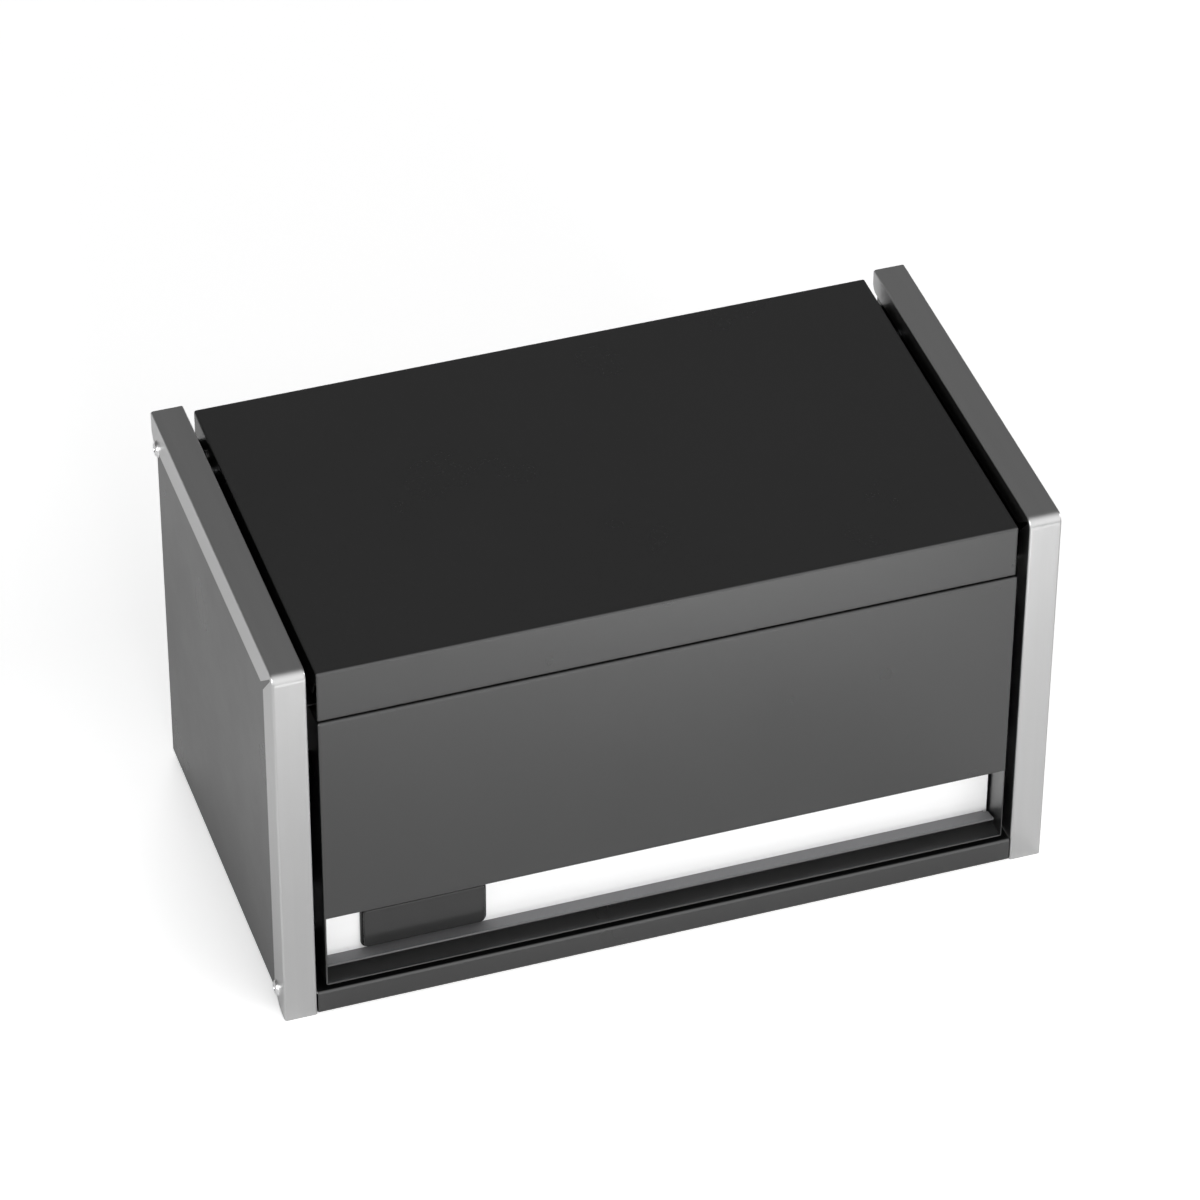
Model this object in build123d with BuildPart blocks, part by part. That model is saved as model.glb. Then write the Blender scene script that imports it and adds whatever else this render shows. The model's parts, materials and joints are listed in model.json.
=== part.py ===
from build123d import *
import os
from math import asin, cos, radians, sin

os.makedirs("parts", exist_ok=True)

# Millimetres. X runs to the right, Y to the rear and Z up, from the middle of the footprint.

# Outside of the box, over the edge trims
width = 360.0
depth = 196.0
height = 198.0

# Sheet steel
sheet = 0.8
nest_gap = 0.2  # between shells that lie one inside the other
run_gap = 0.3  # between pieces that move past each other
pin_gap = 0.05  # radial, between a pin and its hole

# Edge trims: one bent channel a side, over the front edge and the top edge
trim_face = 15.2
trim_outer_flange = 15.5
trim_inner_flange = 11.0
trim_bend = 1.2
trim_corner = 5.0
trim_notch_root = 0.9  # width of the mitre's V at its closed end
trim_notch_mouth = 4.2
trim_notch_front = 3.4  # from the outside corner to the V's closed end
trim_notch_top = 3.0
trim_notch_past = 3.6  # of the V's mouth beyond the flange's inside corner
trim_notch_under = 3.2
trim_end_top = 7.0
trim_end_bottom = 12.0
trim_end_inner = 4.0
trim_rivet_rear = 9.5  # from the trim's rear end
trim_rivet_drop = 14.0
trim_rivet_back = 11.4
trim_rivet_rise = 10.6

# Side walls
side_lift = 2.2
side_bend = 2.0
back_rivet_rows = 4
back_rivet_end = 15.0  # from the ends of the side wall's rear flange
back_rivet_inset = 9.0
edge_round = 0.36  # of a folded hem

# Bottom pan, whose front flange is the rail under the drawer
rail_height = 12.5
rail_setback = 0.1
rail_bend = 1.6
rail_foot = 12.0
rail_end_gap = 0.4
bottom_rivet_pitch = 80.0
bottom_rivet_count = 4

# Lid
lid_gap = 4.5
lid_drop = 3.5
lid_setback = 1.5
lid_bend = 1.2
lid_front_flange = 26.2
lid_side_flange = 15.7
lid_rear_flange = 10.1
lid_notch_top = 6.0
lid_notch_lead = 0.6
lid_notch_width = 6.0
lid_rear_relief = 9.0

# Lid hinge, along the top of the back
knuckle = 1.5
hinge_pin_radius = 0.8
hinge_pin_end = 0.5  # past the last knuckle
hinge_leaf_sheet = 0.65
hinge_leaf_depth = 13.0
hinge_length = 313.0
knuckle_count = 11
knuckle_end_gap = 0.3
hinge_drop = 12.5  # of the pin under the lid's top
hinge_rivet_pitch = 52.0
hinge_rivet_count = 6
hinge_rivet_drop = 7.8

# Lid stays: slotted arms with their two pins as far from the hinge as each other
stay_reach = 20.0
stay_pivot_rise = 6.0  # degrees above the hinge's level
stay_stud_fall = 24.0  # degrees below the hinge's level
stay_pin = 1.5
stay_head = 2.7
stay_head_height = 0.7
stay_base = 1.0
stay_half_width = 4.2
stay_sheet = 1.2
stay_slot_gap = 0.3
lid_opening = 95.0  # degrees

# Till under the lid, measured down from the lid's top
till_depth = 58.5
till_front = 21.0
till_step_drop = 24.9
till_lip = 3.6
till_lip_gap = 1.5
till_lip_drop = 5.7
till_lip_return = 9.0
till_upstand = 12.0
liner = 1.6
bumper_radius = 3.8
bumper_inset = 34.0
bumper_round = 1.2

# Drawer front
front_gap = 4.3
front_depth = 19.0
front_bend = 1.2
seam = 0.45  # between the lid's flange and the drawer front
hem_gap = 3.0
window_height = 40.0  # of the cut-out that shows the pull

# Pull: an extrusion set back in the cut-out
pull_wall = 1.8
pull_setback = 15.5
pull_ledge_front = 6.0
pull_ledge_rise = 2.5
pull_ledge_foot = 4.2
pull_ledge = 1.5
pull_lap = 24.0  # of the wall above the skin's lower edge
pull_lip = 1.2
pull_lip_end = 2.5
pull_end_gap = 1.9
pull_rib = 6.0
pull_rivet_inset = 24.0
pull_ledge_lead = 0.6
pull_relief = 1.8  # of the notches at the ends of the ledge's fold

# Badge on the pull
badge_width = 58.5
badge_height = 23.5
badge_left = 18.5  # from the pull's left end
badge_rise = 5.0
badge_base = 1.0
badge_face = 2.0
badge_rim = 0.8
badge_corner = 3.2
badge_round = 0.6

# Drawer box
drawer_floor = 22.0
drawer_rear_gap = 12.2  # to the back panel
drawer_top_gap = 2.5  # to the till
drawer_hem = 8.0
drawer_tab = 9.0

# Ball-bearing slides, measured from the side wall (across) and from their own middle (up)
slide_front = 21.5
slide_rear_gap = 2.5  # to the drawer's rear
slide_z = 45.0
slide_half = 13.4
slide_sheet = 0.8
slide_across = 10.0
slide_lip = 1.2
slide_ball = 1.1
slide_middle_across = 2.2
slide_middle_over = 0.8
slide_inner_across = 4.4
slide_rivet_end = 18.0
slide_overlap = 8.0  # of the members, with the drawer open
cage_end = 6.0  # between a ball cage and the end of the members' overlap when open
cage_sheet = 0.6
cage_width = 3.4
cage_balls = 5
cage_play = 0.15

# Rivets
rivet_shank = 1.6
rivet_head = 3.9
rivet_dome = 1.6
small_head = 2.8
small_dome = 0.8
back_dome = 1.2
tail_head = 2.4
tail_height = 0.7

# Places that follow from the sizes
front = -depth / 2
rear = depth / 2
trim_out = width / 2
trim_in = trim_out - trim_face
wall_out = trim_out - sheet
wall_in = trim_in + sheet
wall_front = front + sheet + nest_gap
wall_top = height - sheet - nest_gap
back_out = rear - 2 * knuckle
back_in = back_out - sheet
pin_y = rear - knuckle
lid_top = height - lid_drop
pin_z = lid_top - hinge_drop
back_top = pin_z - knuckle - run_gap - nest_gap
lid_half = trim_in - lid_gap
lid_front = front + lid_setback
front_half = trim_in - front_gap
front_top = lid_top - lid_front_flange - seam
front_foot = rail_height + hem_gap
window_top = front_foot + window_height
front_back = front + front_depth
box_half = wall_in - slide_across
lip_half = lid_half - sheet - till_lip_gap
till_floor = lid_top - till_depth
till_step = lid_top - till_step_drop
till_lip_top = lid_top - till_lip_drop
drawer_top = till_floor - drawer_top_gap
drawer_rear = back_in - drawer_rear_gap


def slab(x, y, z, mode=Mode.ADD):
    """Adds a block between two limits on each axis to the current part."""
    centre = [(low + high) / 2 for low, high in (x, y, z)]
    with Locations(tuple(centre)):
        return Box(x[1] - x[0], y[1] - y[0], z[1] - z[0], mode=mode)


def edges_at(piece, axis, x=None, y=None, z=None, near=0.05):
    """Straight edges along an axis whose middle has the coordinates given."""

    def lies(edge):
        middle = edge.center()
        pairs = zip((middle.X, middle.Y, middle.Z), (x, y, z))
        return all(want is None or abs(got - want) < near for got, want in pairs)

    return piece.edges().filter_by(axis).filter_by(lies)


def mirrored(piece):
    """The same piece for the other side."""
    with BuildPart() as other:
        mirror(piece.part, about=Plane.YZ)
    return other


def rivet(head, dome, shank, grip, tail, tail_depth):
    """A domed rivet along Z, with the head's underside at zero and its tail below the grip."""
    ball = (head**2 + dome**2) / (2 * dome)
    half_angle = asin(head / ball) / 2
    middle = (ball * sin(half_angle), dome - ball * (1 - cos(half_angle)))
    with BuildPart() as piece:
        with BuildSketch(Plane.XZ):
            with BuildLine():
                ThreePointArc((0, dome), middle, (head, 0))
                Polyline(
                    (head, 0),
                    (shank, 0),
                    (shank, -grip),
                    (tail, -grip),
                    (tail, -grip - tail_depth),
                    (0, -grip - tail_depth),
                    (0, dome),
                )
            make_face()
        revolve(axis=Axis.Z)
    return piece


def facing(x, y, z, direction):
    """A place at a point, with its own Z along a direction."""
    return Plane(origin=(x, y, z), z_dir=direction).location


def spread(count, pitch):
    """Evenly spaced distances on both sides of zero."""
    return [(index - (count - 1) / 2) * pitch for index in range(count)]


def group(piece, places):
    """Copies of one piece at several places, as one part of separate solids."""
    with BuildPart() as copies:
        with Locations(*places):
            add(piece.part)
    return copies


def drill(places, radius, reach):
    """Cuts a hole along each place's own Z, both ways from its face, in the current part."""
    with Locations(*places):
        Cylinder(radius, 2 * reach, mode=Mode.SUBTRACT)


# Edge trims
def trim_solid(inset):
    """The trim's outer form, or with an inset the space that its sheet wraps."""
    over = 1.0 if inset else 0.0
    arm = trim_outer_flange + over
    top = height - inset
    with BuildPart() as piece:
        with BuildSketch(Plane.YZ.offset(trim_in + inset)) as outline:
            with BuildLine():
                Polyline(
                    (front + inset, -over),
                    (front + inset, top),
                    (rear + over, top),
                    (rear + over, height - arm),
                    (front + arm, height - arm),
                    (front + arm, -over),
                    close=True,
                )
            make_face()
            corner = outline.vertices().sort_by_distance((front + inset, top))[0]
            fillet(corner, trim_corner - inset)
        extrude(amount=trim_face - 2 * inset)
        outer = piece.faces().sort_by(Axis.X)
        long_edges = outer[0].edges() + outer[-1].edges()
        bends = long_edges.filter_by(
            lambda edge: edge.bounding_box().min.Z > top - trim_corner
            or edge.bounding_box().max.Y < front + trim_corner
        )
        fillet(bends, trim_bend - inset)
    return piece


def mitre_notch(flange):
    """The V between a flange's two runs, as points in Y and Z."""
    root = Vector(front + trim_notch_front, height - trim_notch_top)
    mouth = Vector(front + flange + trim_notch_past, height - flange - trim_notch_under)
    across = (mouth - root).normalized().rotate(Axis.Z, 90)
    return [
        root + across * (trim_notch_root / 2),
        mouth + across * (trim_notch_mouth / 2),
        mouth - across * (trim_notch_mouth / 2),
        root - across * (trim_notch_root / 2),
    ]


trim_rivet_places = [
    facing(trim_out, rear - trim_rivet_rear, height - trim_rivet_drop, (1, 0, 0)),
    facing(trim_out, front + trim_rivet_back, trim_rivet_rise, (1, 0, 0)),
]

trim_block = trim_solid(0)
trim_core = trim_solid(sheet)

with BuildPart() as edge_trim_right:
    add(trim_block.part)
    add(trim_core.part, mode=Mode.SUBTRACT)
    slab(
        (trim_in - 1, wall_in),
        (front + trim_inner_flange, rear + 1),
        (-1, height - trim_inner_flange),
        mode=Mode.SUBTRACT,
    )
    for start, reach, flange in (
        (wall_out, 2 * sheet, trim_outer_flange),
        (trim_in - sheet, 2 * sheet, trim_inner_flange),
    ):
        with BuildSketch(Plane.YZ.offset(start)):
            Polygon(*[(point.X, point.Y) for point in mitre_notch(flange)], align=None)
        extrude(amount=reach, mode=Mode.SUBTRACT)
    outer_x = (wall_out + trim_out) / 2
    inner_x = trim_in + sheet / 2
    fillet(edges_at(edge_trim_right, Axis.X, outer_x, rear, height - trim_outer_flange), trim_end_top)
    fillet(edges_at(edge_trim_right, Axis.X, outer_x, front + trim_outer_flange, 0), trim_end_bottom)
    fillet(edges_at(edge_trim_right, Axis.X, inner_x, rear, height - trim_inner_flange), trim_end_inner)
    fillet(edges_at(edge_trim_right, Axis.X, inner_x, front + trim_inner_flange, 0), trim_end_inner)
    drill(trim_rivet_places, rivet_shank + pin_gap, 2 * sheet)

trim_rivet = rivet(rivet_head, rivet_dome, rivet_shank, 2 * sheet, tail_head, tail_height)
trim_rivets_right = group(trim_rivet, trim_rivet_places)

# Side walls: an outer pan with its flanges inward, closed by an inner sheet
back_rivet_low = side_lift + back_rivet_end
back_rivet_step = (back_top - back_rivet_end - back_rivet_low) / (back_rivet_rows - 1)
back_rivet_heights = [back_rivet_low + row * back_rivet_step for row in range(back_rivet_rows)]
back_rivet_x = wall_out - back_rivet_inset
side_back_places = [facing(back_rivet_x, back_out, z, (0, 1, 0)) for z in back_rivet_heights]

with BuildPart() as side_outer_right:
    slab((wall_in + sheet + nest_gap, wall_out), (wall_front, back_in), (side_lift, wall_top))
    fillet(edges_at(side_outer_right, Axis.X, y=wall_front, z=wall_top), trim_corner)
    fillet(edges_at(side_outer_right, Axis.X, y=back_in), side_bend)
    fillet(edges_at(side_outer_right, Axis.X, y=wall_front, z=side_lift), side_bend)
    fillet(side_outer_right.faces().sort_by(Axis.X)[-1].edges(), side_bend - nest_gap)
    offset(amount=-sheet, openings=side_outer_right.faces().sort_by(Axis.X)[0])
    drill(trim_rivet_places, rivet_shank + pin_gap, 3 * sheet)
    drill(side_back_places, rivet_shank + pin_gap, 3 * sheet)

# Ball-bearing slides and the rivets that hold them
slide_rear = drawer_rear - front - slide_rear_gap
slide_length = slide_rear - slide_front
slide_rivet_ys = [
    slide_front + slide_rivet_end,
    slide_front + slide_length / 2,
    slide_rear - slide_rivet_end,
]
cabinet_slide_places = [
    facing(wall_in - slide_sheet, front + y, slide_z, (-1, 0, 0)) for y in slide_rivet_ys
]
drawer_slide_places = [
    facing(box_half - sheet, front + y, slide_z, (-1, 0, 0)) for y in slide_rivet_ys
]

# The stays' pins, from the hinge's pin
stay_pivot_y = pin_y - stay_reach * cos(radians(stay_pivot_rise))
stay_pivot_z = pin_z + stay_reach * sin(radians(stay_pivot_rise))
stay_stud_y = pin_y - stay_reach * cos(radians(stay_stud_fall))
stay_stud_z = pin_z - stay_reach * sin(radians(stay_stud_fall))
stay_out = lid_half - sheet - run_gap
stay_in = stay_out - stay_sheet
stay_stud_place = facing(stay_in - run_gap, stay_stud_y, stay_stud_z, (-1, 0, 0))

inner_front = front + trim_bend + nest_gap
inner_top = height - trim_bend - nest_gap
with BuildPart() as side_inner_right:
    slab((wall_in, wall_in + sheet), (inner_front, back_in), (side_lift, inner_top))
    fillet(edges_at(side_inner_right, Axis.X, y=inner_front, z=inner_top), trim_corner)
    drill(cabinet_slide_places, rivet_shank + pin_gap, 4 * sheet)
    drill([stay_stud_place], stay_pin + pin_gap, 2 * slide_across)

# Back and bottom
hinge_rivet_z = pin_z - hinge_rivet_drop
hinge_rivet_places = [
    facing(x, back_out + hinge_leaf_sheet, hinge_rivet_z, (0, 1, 0))
    for x in spread(hinge_rivet_count, hinge_rivet_pitch)
]
bottom_rivet_places = [
    facing(x, back_out, rail_height / 2 + sheet, (0, 1, 0))
    for x in spread(bottom_rivet_count, bottom_rivet_pitch)
]
back_rivet_places = side_back_places + bottom_rivet_places
back_rivet_places += [facing(-back_rivet_x, back_out, z, (0, 1, 0)) for z in back_rivet_heights]

with BuildPart() as back_panel:
    slab((-wall_out + side_bend, wall_out - side_bend), (back_in, back_out), (side_lift, back_top))
    slab(
        (-hinge_length / 2, hinge_length / 2),
        (back_in - sheet, back_in),
        (back_top - drawer_hem, back_top),
    )
    fillet(edges_at(back_panel, Axis.X, z=back_top), edge_round)
    drill(back_rivet_places, rivet_shank + pin_gap, 3 * sheet)
    drill(hinge_rivet_places, rivet_shank + pin_gap, 4 * sheet)

back_rivet = rivet(small_head, back_dome, rivet_shank, 2 * sheet, tail_head, tail_height)
back_rivets = group(back_rivet, back_rivet_places)

bottom_front = front + rail_setback
with BuildPart() as bottom_core:
    slab(
        (-wall_in + sheet, wall_in - sheet),
        (bottom_front + sheet, back_in - sheet),
        (sheet, rail_height - sheet),
    )
    fillet(edges_at(bottom_core, Axis.X), rail_bend - sheet)

with BuildPart() as bottom_pan:
    slab((-wall_in, wall_in), (bottom_front, back_in), (0, rail_height))
    fillet(edges_at(bottom_pan, Axis.X), rail_bend)
    add(bottom_core.part, mode=Mode.SUBTRACT)
    slab(
        (-wall_in - 1, wall_in + 1),
        (bottom_front + rail_foot, back_in - rail_foot),
        (-1, side_lift),
        mode=Mode.SUBTRACT,
    )
    for side in (-1, 1):
        notch_x = sorted((side * (trim_in - rail_end_gap), side * (wall_in + 1)))
        slab(
            notch_x,
            (front - 1, front + trim_inner_flange + nest_gap),
            (-1, rail_height + 1),
            mode=Mode.SUBTRACT,
        )
    drill(bottom_rivet_places, rivet_shank + pin_gap, 3 * sheet)

# Till: floor, upstands at the sides and rear, and a front wall that steps forward under the lid
with BuildPart() as till_tray:
    slab((-wall_in, wall_in), (front + till_front, back_in), (till_floor, till_floor + sheet))
    slab((-wall_in, wall_in), (front + till_front, front + till_front + sheet), (till_floor, till_step))
    slab(
        (-wall_in, wall_in),
        (front + trim_inner_flange + nest_gap, front + till_front + sheet),
        (till_step, till_step + sheet),
    )
    slab((-lip_half, lip_half), (front + till_lip, front + till_front), (till_step, till_step + sheet))
    slab((-lip_half, lip_half), (front + till_lip, front + till_lip + sheet), (till_step, till_lip_top))
    slab(
        (-lip_half, lip_half),
        (front + till_lip, front + till_lip + till_lip_return),
        (till_lip_top - sheet, till_lip_top),
    )
    slab((-wall_in, wall_in), (back_in - sheet, back_in), (till_floor, till_floor + till_upstand))
    for side in (-1, 1):
        slab(
            sorted((side * (wall_in - sheet), side * wall_in)),
            (front + till_front, back_in),
            (till_floor, till_floor + till_upstand),
        )
    fillet(edges_at(till_tray, Axis.X, y=front + till_lip, z=till_lip_top), 2 * edge_round)

with BuildPart() as till_liner:
    slab(
        (-wall_in + 2 * sheet, wall_in - 2 * sheet),
        (front + till_front + 2 * sheet, back_in - 2 * sheet),
        (till_floor + sheet, till_floor + sheet + liner),
    )

bumper_height = lid_top - sheet - run_gap - till_lip_top
with BuildPart() as lid_bumpers:
    with Locations(
        *[
            (side * (lip_half - bumper_inset), front + till_lip + till_lip_return / 2, till_lip_top)
            for side in (-1, 1)
        ]
    ):
        Cylinder(bumper_radius, bumper_height, align=(Align.CENTER, Align.CENTER, Align.MIN))
    fillet(lid_bumpers.edges().group_by(Axis.Z)[-1], bumper_round)

# Lid hinge
knuckle_pitch = hinge_length / knuckle_count


def hinge_leaf(first, leaf_y, inner, outer, holes=()):
    """A leaf with every second knuckle from the first, between two heights from the pin."""
    with BuildPart() as leaf:
        slab(
            (-hinge_length / 2, hinge_length / 2),
            (leaf_y, leaf_y + hinge_leaf_sheet),
            sorted((pin_z + inner, pin_z + outer)),
        )
        for index in range(first, knuckle_count, 2):
            low_x = -hinge_length / 2 + index * knuckle_pitch + knuckle_end_gap / 2
            high_x = low_x + knuckle_pitch - knuckle_end_gap
            slab(
                (low_x, high_x),
                (leaf_y, leaf_y + hinge_leaf_sheet),
                sorted((pin_z, pin_z + inner)),
            )
            with Locations(Location(((low_x + high_x) / 2, pin_y, pin_z), (0, 90, 0))):
                Cylinder(knuckle, high_x - low_x)
        with Locations(Location((0, pin_y, pin_z), (0, 90, 0))):
            Cylinder(hinge_pin_radius + pin_gap, hinge_length + 2, mode=Mode.SUBTRACT)
        if holes:
            drill(holes, rivet_shank + pin_gap, 3 * sheet)
    return leaf


leaf_clear = knuckle + run_gap + nest_gap
hinge_leaf_cabinet = hinge_leaf(0, back_out, -leaf_clear, -hinge_leaf_depth, hinge_rivet_places)
hinge_leaf_lid = hinge_leaf(1, rear - sheet - hinge_leaf_sheet, leaf_clear, hinge_drop - 2 * sheet)

with BuildPart() as hinge_pin:
    with Locations(Location((0, pin_y, pin_z), (0, 90, 0))):
        Cylinder(hinge_pin_radius, hinge_length + 2 * hinge_pin_end)

hinge_rivet = rivet(
    small_head, back_dome, rivet_shank, hinge_leaf_sheet + 2 * sheet, tail_head, tail_height
)
hinge_rivets = group(hinge_rivet, hinge_rivet_places)

# Lid
stay_pivot_place = facing(lid_half, stay_pivot_y, stay_pivot_z, (1, 0, 0))

with BuildPart() as lid_pan:
    slab((-lid_half, lid_half), (lid_front, rear), (lid_top - lid_front_flange, lid_top))
    fillet(edges_at(lid_pan, Axis.Z), lid_bend)
    fillet(lid_pan.faces().sort_by(Axis.Z)[-1].edges(), lid_bend)
    offset(amount=-sheet, openings=lid_pan.faces().sort_by(Axis.Z)[0])
    slab(
        (-lid_half - 1, lid_half + 1),
        (lid_front + sheet + run_gap, rear - sheet - run_gap),
        (0, lid_top - lid_side_flange),
        mode=Mode.SUBTRACT,
    )
    slab(
        (-lid_half - 1, lid_half + 1),
        (rear - lid_rear_relief, rear + 1),
        (0, pin_z - knuckle),
        mode=Mode.SUBTRACT,
    )
    hinge_cut = hinge_length / 2 + 2 * run_gap
    slab(
        (-hinge_cut, hinge_cut),
        (rear - lid_rear_relief, rear + 1),
        (0, lid_top - lid_rear_flange),
        mode=Mode.SUBTRACT,
    )
    with BuildSketch(Plane.YZ.offset(-lid_half - 1)):
        with BuildLine():
            Polyline(
                (lid_front + lid_bend, lid_top - lid_notch_top),
                (lid_front + lid_bend + lid_notch_lead, lid_top - lid_notch_top),
                (lid_front + lid_bend + lid_notch_lead + lid_notch_width, lid_top - lid_side_flange - 1),
                (lid_front + sheet, lid_top - lid_side_flange - 1),
                (lid_front + sheet, lid_top - lid_notch_top - 1),
                close=True,
            )
        make_face()
    extrude(amount=2 * lid_half + 2, mode=Mode.SUBTRACT)
    drill([stay_pivot_place], stay_pin + pin_gap, 3 * sheet)
    drill(
        [facing(-lid_half, stay_pivot_y, stay_pivot_z, (-1, 0, 0))],
        stay_pin + pin_gap,
        3 * sheet,
    )

# Lid stays
stay_fold = stay_pivot_rise + stay_stud_fall
slot_near = 2 * stay_reach * sin(radians(stay_fold) / 2)
slot_far = 2 * stay_reach * sin(radians(stay_fold + lid_opening) / 2)
stay_plane = Plane(
    origin=(stay_in, stay_pivot_y, stay_pivot_z),
    x_dir=(0, stay_stud_y - stay_pivot_y, stay_stud_z - stay_pivot_z),
    z_dir=(1, 0, 0),
)

with BuildPart() as lid_stay_right:
    with BuildSketch(stay_plane):
        arm_end = slot_far + stay_slot_gap
        with Locations((arm_end / 2, 0)):
            SlotCenterToCenter(arm_end, 2 * stay_half_width)
        slot_run = slot_far - slot_near + 2 * stay_slot_gap
        with Locations(((slot_near + slot_far) / 2, 0)):
            SlotCenterToCenter(slot_run, 2 * (stay_pin + stay_slot_gap), mode=Mode.SUBTRACT)
        Circle(stay_pin + pin_gap, mode=Mode.SUBTRACT)
    extrude(amount=stay_sheet)

with BuildPart() as stay_pivot_right:
    with Locations(stay_pivot_place):
        Cylinder(stay_head, stay_head_height, align=(Align.CENTER, Align.CENTER, Align.MIN))
        shank = lid_half - stay_in + run_gap + stay_head_height
        Cylinder(stay_pin, shank, align=(Align.CENTER, Align.CENTER, Align.MAX))
    with Locations(facing(stay_in - run_gap, stay_pivot_y, stay_pivot_z, (-1, 0, 0))):
        Cylinder(stay_head, stay_head_height, align=(Align.CENTER, Align.CENTER, Align.MIN))
    fillet(stay_pivot_right.edges().group_by(Axis.X)[0], stay_head_height / 2)

with BuildPart() as stay_stud_right:
    with Locations(stay_stud_place):
        Cylinder(stay_head, stay_head_height, align=(Align.CENTER, Align.CENTER, Align.MIN))
        shank = wall_in + sheet - stay_in + run_gap
        Cylinder(stay_pin, shank, align=(Align.CENTER, Align.CENTER, Align.MAX))
    with Locations(facing(wall_in, stay_stud_y, stay_stud_z, (-1, 0, 0))):
        Cylinder(stay_head, stay_base, align=(Align.CENTER, Align.CENTER, Align.MIN))
    with Locations(facing(wall_in + sheet, stay_stud_y, stay_stud_z, (1, 0, 0))):
        Cylinder(tail_head, tail_height, align=(Align.CENTER, Align.CENTER, Align.MIN))
    fillet(stay_stud_right.edges().group_by(Axis.X)[0], stay_head_height / 2)

# Slides. One section for each member, mirrored top and bottom
def slide_member(across, far, half, lips, open_in, y_low, y_high):
    """A channel along Y between two distances from the wall, with its web on the wall's side
    or, where open_in is false, on the drawer's side."""
    x_far, x_near = wall_in - far, wall_in - across
    web = (x_near - slide_sheet, x_near) if open_in else (x_far, x_far + slide_sheet)
    y = (front + y_low, front + y_high)
    with BuildPart() as member:
        slab(web, y, (slide_z - half, slide_z + half))
        for side in (-1, 1):
            flange = sorted((slide_z + side * (half - slide_sheet), slide_z + side * half))
            slab((x_far, x_near), y, flange)
            if lips:
                lip = sorted((slide_z + side * (half - slide_lip - slide_sheet), slide_z + side * half))
                slab((x_far, x_far + slide_sheet), y, lip)
    return member


ball_gap = 2 * (slide_ball + run_gap)
drawer_travel = slide_length - slide_overlap
cage_length = slide_length - drawer_travel / 2 - 2 * cage_end
middle_half = slide_half - slide_sheet - ball_gap
inner_half = middle_half - slide_sheet - ball_gap
outer_far = slide_across - slide_middle_over - run_gap
middle_far = slide_across - slide_middle_over + run_gap

slide_outer_channel = slide_member(0, outer_far, slide_half, True, True, slide_front, slide_rear)
with BuildPart() as slide_outer_right:
    add(slide_outer_channel.part)
    drill(cabinet_slide_places, rivet_shank + pin_gap, 2 * sheet)

slide_middle_right = slide_member(
    slide_middle_across, middle_far, middle_half, True, True, slide_front, slide_rear
)

slide_inner_channel = slide_member(
    slide_inner_across, slide_across, inner_half, False, False, slide_front, slide_rear
)
with BuildPart() as slide_inner_right:
    add(slide_inner_channel.part)
    drill(drawer_slide_places, rivet_shank + pin_gap, 3 * sheet)

slide_rivet = rivet(small_head, small_dome, rivet_shank, 2 * sheet, tail_head, tail_height)
slide_rivets_right = group(slide_rivet, cabinet_slide_places)
drawer_rivets_right = group(slide_rivet, drawer_slide_places)


def ball_cage(half, across):
    """Two strips of balls, above and below the slide's middle, running inside a member."""
    track = half - slide_sheet - ball_gap / 2
    x = wall_in - across
    y_middle = front + slide_front + slide_length / 2
    places = [
        (x, y_middle + y, slide_z + side * track)
        for y in spread(cage_balls, cage_length / cage_balls)
        for side in (-1, 1)
    ]
    with BuildPart() as cage:
        for side in (-1, 1):
            strip = slide_z + side * track
            slab(
                (x - cage_width / 2, x + cage_width / 2),
                (y_middle - cage_length / 2, y_middle + cage_length / 2),
                (strip - cage_sheet / 2, strip + cage_sheet / 2),
            )
        with Locations(*places):
            Cylinder(slide_ball + cage_play, 2 * slide_ball, mode=Mode.SUBTRACT)
        with Locations(*places):
            Sphere(slide_ball)
    return cage


outer_track = outer_far / 2
ball_cage_outer_right = ball_cage(slide_half, outer_track)
inner_track = (slide_inner_across + middle_far - slide_sheet) / 2
ball_cage_inner_right = ball_cage(middle_half, inner_track)

# Places of the pull, which the drawer front's plate is riveted to
pull_half = front_half - pull_end_gap
wall_y = front + pull_setback
ledge_z = front_foot + pull_ledge_foot
pull_top = window_top + pull_lap
skin_back = front + sheet
rib_lows = (ledge_z + pull_rib, pull_top - 2 * pull_rib)
pull_rivet_places = [
    facing(x, front_back, rib_lows[1] + pull_rib / 2, (0, 1, 0))
    for x in (pull_rivet_inset - pull_half, 0, pull_half - pull_rivet_inset)
]

# Drawer front: a pan with its skin cut away low down, and the plate that closes its back
with BuildPart() as drawer_front:
    slab((-front_half, front_half), (front, front_back), (front_foot, front_top))
    fillet(edges_at(drawer_front, Axis.Y), front_bend)
    fillet(drawer_front.faces().sort_by(Axis.Y)[0].edges(), front_bend)
    offset(amount=-sheet, openings=drawer_front.faces().sort_by(Axis.Y)[-1])
    slab(
        (-front_half + sheet, front_half - sheet),
        (front - 1, front + front_bend + sheet),
        (front_foot + sheet, window_top),
        mode=Mode.SUBTRACT,
    )
    fillet(edges_at(drawer_front, Axis.X, x=0, z=front_foot + sheet).sort_by(Axis.Y)[0], edge_round)

plate_front = front_back - sheet
plate_half = front_half - sheet - nest_gap
with BuildPart() as drawer_front_inner:
    slab(
        (-plate_half, plate_half),
        (plate_front, front_back),
        (front_foot + sheet + nest_gap, front_top - sheet - nest_gap),
    )
    fillet(edges_at(drawer_front_inner, Axis.Y), front_bend)
    drill(pull_rivet_places, rivet_shank + pin_gap, 2 * sheet)

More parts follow.
